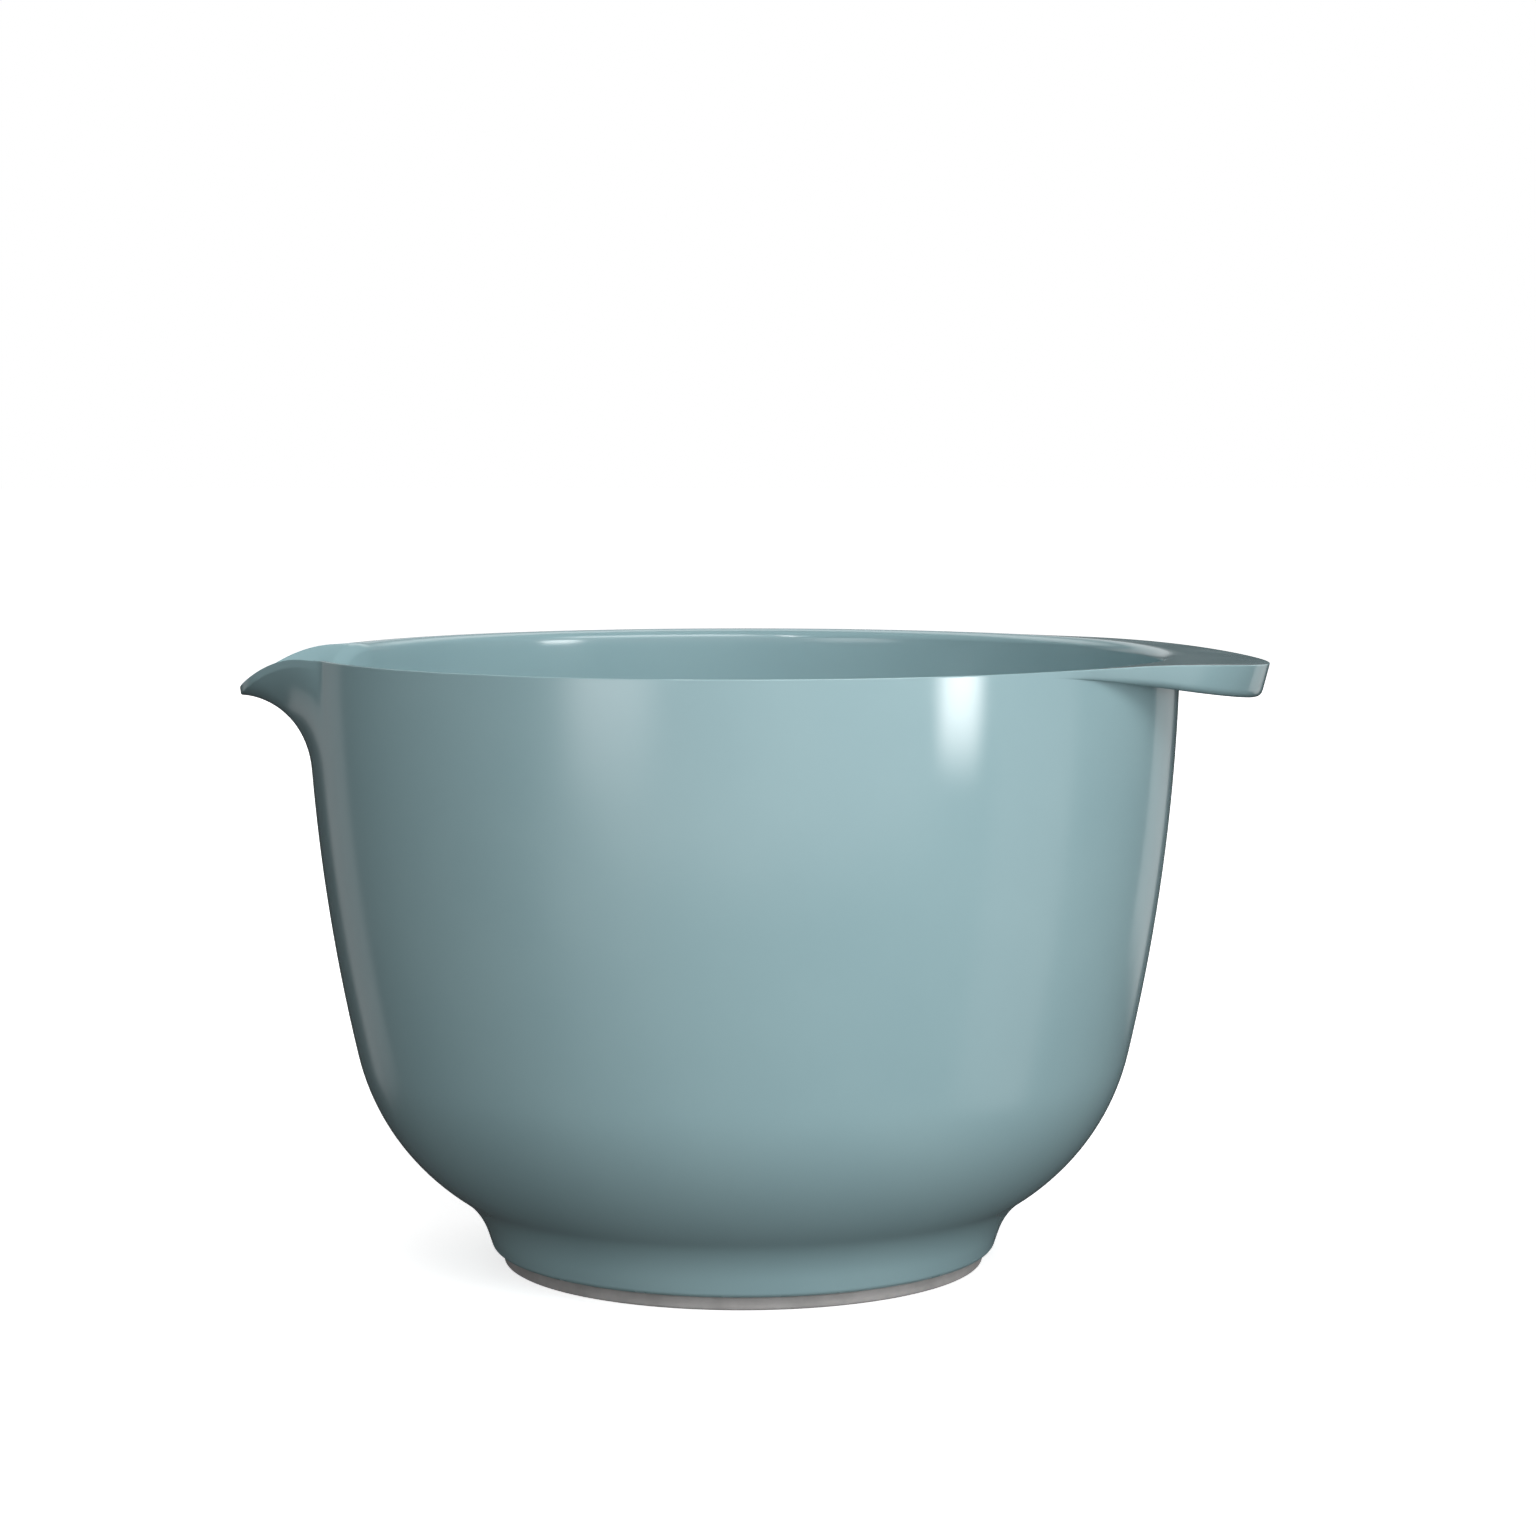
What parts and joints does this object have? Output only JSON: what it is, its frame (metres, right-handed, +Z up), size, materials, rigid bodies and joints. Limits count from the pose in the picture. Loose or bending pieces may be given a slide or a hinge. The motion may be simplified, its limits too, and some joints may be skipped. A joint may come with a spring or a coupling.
{
  "type": "mixing bowl",
  "caption": "Deep round mixing bowl with a pouring spout, a turned-down handle lip opposite it, and a non-slip rubber ring under its foot.",
  "frame": {"origin": "on the table, in the middle of the bowl's overall length and width", "axes": "+X points from the spout to the handle, +Z points up; the bowl's own axis stands 2.6 mm towards the spout"},
  "size_m": [0.2364, 0.2, 0.1412],
  "materials": {
    "melamine": "glossy moulded melamine, pale duck-egg blue",
    "rubber": "matt warm-grey rubber"
  },
  "bodies": {
    "root": {"bowl_shell": "melamine", "non_slip_ring": "rubber"}
  },
  "joints": []
}
